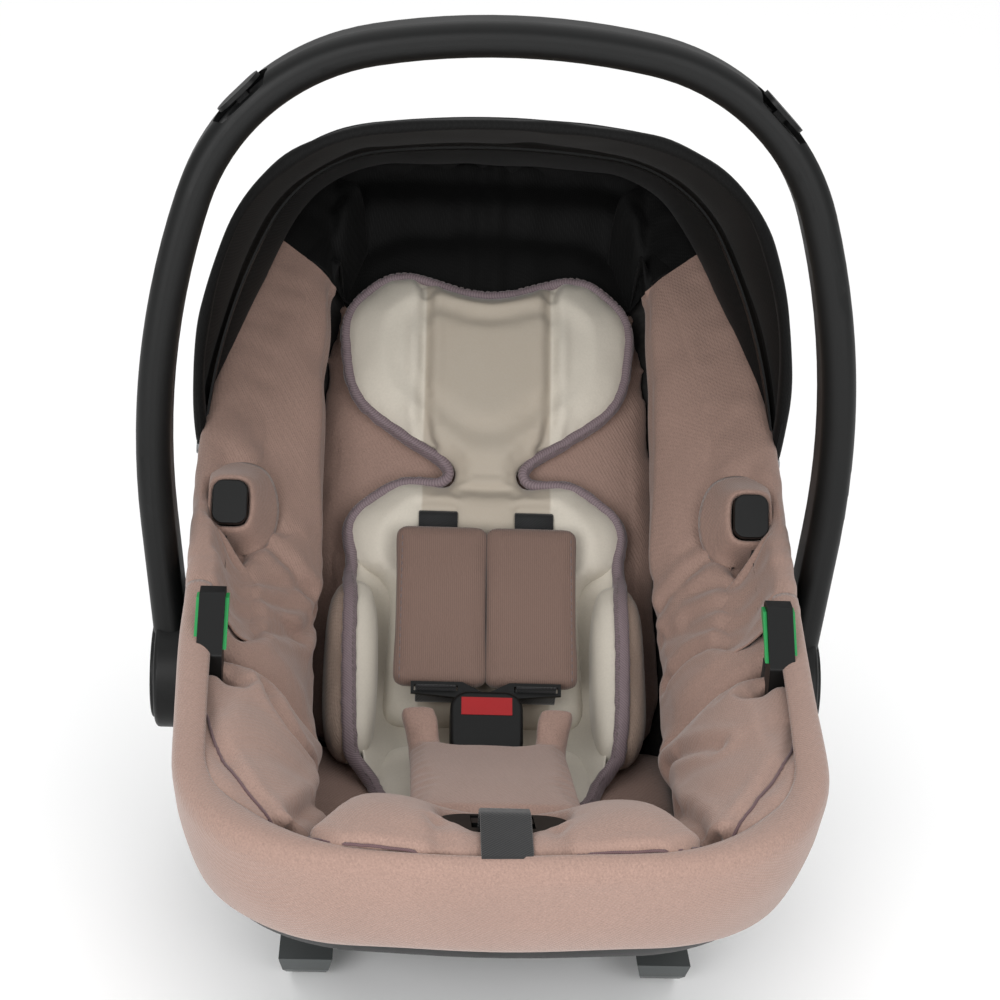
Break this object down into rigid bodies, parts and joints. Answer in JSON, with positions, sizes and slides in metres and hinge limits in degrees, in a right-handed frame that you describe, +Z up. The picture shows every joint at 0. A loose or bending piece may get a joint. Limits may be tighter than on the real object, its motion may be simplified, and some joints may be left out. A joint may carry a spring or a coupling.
{
  "type": "infant car seat",
  "caption": "Rear-facing infant carrier: padded bucket shell on rocker rails with swinging carry handle, folding canopy, newborn insert, harness with buckle, and belt guides.",
  "frame": {"origin": "on the floor under the middle of the seat", "axes": "+X across to the seat's right as seen from the foot end, +Y from the foot end to the head end, +Z up"},
  "size_m": [0.4402, 0.6215, 0.553],
  "materials": {
    "black_plastic": "fine grained black moulding",
    "grey_plastic": "satin dark grey moulding",
    "foam": "charcoal bead foam",
    "taupe_fabric": "woven melange upholstery",
    "dark_taupe_fabric": "ribbed woven pad cloth",
    "pale_fabric": "brushed jersey",
    "black_fabric": "thin black hood cloth",
    "black_webbing": "woven polyester webbing",
    "steel": "zinc plated",
    "red_plastic": "gloss red",
    "green_plastic": "satin green"
  },
  "bodies": {
    "seat": {"shell": "black_plastic", "foam_liner": "foam", "rocker_rails": "grey_plastic", "docking_bars": "steel", "rail_screws": "steel", "seat_pad": "taupe_fabric", "back_pad": "taupe_fabric", "wing_pad_left": "taupe_fabric", "wing_pad_right": "taupe_fabric", "arm_pad_left": "taupe_fabric", "arm_pad_right": "taupe_fabric", "front_pad": "taupe_fabric", "front_fascia": "taupe_fabric", "insert_head": "pale_fabric", "insert_body": "pale_fabric", "insert_seat": "pale_fabric", "insert_bolster_left": "pale_fabric", "insert_bolster_right": "pale_fabric", "shoulder_strap_left": "black_webbing", "shoulder_strap_right": "black_webbing", "shoulder_pad_left": "dark_taupe_fabric", "shoulder_pad_right": "dark_taupe_fabric", "harness_yoke": "steel", "buckle_front": "black_plastic", "buckle_back": "black_plastic", "tongue_left": "black_plastic", "tongue_right": "black_plastic", "crotch_strap": "black_webbing", "crotch_anchor": "steel", "crotch_pad": "taupe_fabric", "adjuster_bezel": "black_plastic", "adjuster_frame": "steel", "adjuster_pin": "steel", "adjuster_strap": "black_webbing", "belt_horn_left": "black_plastic", "belt_horn_right": "black_plastic", "horn_inlays": "green_plastic", "button_guides": "black_plastic", "pivot_pins": "steel", "lock_discs": "black_plastic", "canopy_studs": "steel", "canopy_fabric": "black_fabric", "lever_pin": "steel", "belt_hook": "green_plastic"},
    "handle": {"handle_bar": "black_plastic", "hub_caps": "black_plastic", "release_cables": "steel"},
    "handle_button_left": {"handle_button_left": "black_plastic"},
    "handle_button_right": {"handle_button_right": "black_plastic"},
    "lock_left": {"lock_plunger_left": "steel"},
    "lock_right": {"lock_plunger_right": "steel"},
    "canopy_front": {"canopy_front_bow": "black_plastic"},
    "canopy_mid": {"canopy_mid_bow": "black_plastic"},
    "buckle_button": {"buckle_button": "red_plastic"},
    "adjuster_lever": {"adjuster_lever": "black_plastic"},
    "side_button_left": {"side_button_left": "black_plastic"},
    "side_button_right": {"side_button_right": "black_plastic"},
    "release_lever": {"release_lever": "black_plastic"}
  },
  "joints": [
    {"name": "handle_swing", "type": "hinge", "parent": "seat", "child": "handle", "pos_m": [0, 0.015, 0.133], "axis": [1, 0, 0], "range_deg": [-100, 92]},
    {"name": "handle_button_left_press", "type": "slide", "parent": "handle", "child": "handle_button_left", "axis": [0.7071, 0, -0.7071], "range_m": [0, 0.003], "stiffness_N_per_m": 600},
    {"name": "handle_button_right_press", "type": "slide", "parent": "handle", "child": "handle_button_right", "axis": [-0.7071, 0, -0.7071], "range_m": [0, 0.003], "stiffness_N_per_m": 600},
    {"name": "lock_left_slide", "type": "slide", "parent": "handle", "child": "lock_left", "axis": [-1, 0, 0], "range_m": [0, 0.003]},
    {"name": "lock_right_slide", "type": "slide", "parent": "handle", "child": "lock_right", "axis": [1, 0, 0], "range_m": [0, 0.003]},
    {"name": "canopy_fold", "type": "hinge", "parent": "seat", "child": "canopy_front", "pos_m": [0, 0.098, 0.252], "axis": [-1, 0, 0], "range_deg": [0, 46], "deforming": ["canopy_fabric"]},
    {"name": "canopy_mid_fold", "type": "hinge", "parent": "seat", "child": "canopy_mid", "pos_m": [0, 0.098, 0.252], "axis": [-1, 0, 0], "range_deg": [0, 24]},
    {"name": "buckle_press", "type": "slide", "parent": "seat", "child": "buckle_button", "axis": [0, 0.6157, -0.788], "range_m": [0, 0.003], "stiffness_N_per_m": 1200},
    {"name": "adjuster_press", "type": "hinge", "parent": "seat", "child": "adjuster_lever", "pos_m": [0, -0.2442, 0.1621], "axis": [-1, 0, 0], "range_deg": [0, 12], "stiffness_Nm_per_rad": 0.4},
    {"name": "side_button_left_press", "type": "slide", "parent": "seat", "child": "side_button_left", "axis": [0, 0.848, -0.53], "range_m": [0, 0.005], "stiffness_N_per_m": 700},
    {"name": "side_button_right_press", "type": "slide", "parent": "seat", "child": "side_button_right", "axis": [0, 0.848, -0.53], "range_m": [0, 0.005], "stiffness_N_per_m": 700},
    {"name": "release_lever_pull", "type": "hinge", "parent": "seat", "child": "release_lever", "pos_m": [0, 0.231, 0.228], "axis": [1, 0, 0], "range_deg": [0, 20], "stiffness_Nm_per_rad": 0.4}
  ],
  "couplings": [
    {"joint": "lock_left_slide", "follows": "handle_button_left_press", "ratio": 1},
    {"joint": "lock_right_slide", "follows": "handle_button_right_press", "ratio": 1},
    {"joint": "canopy_mid_fold", "follows": "canopy_fold", "ratio": 0.5}
  ]
}
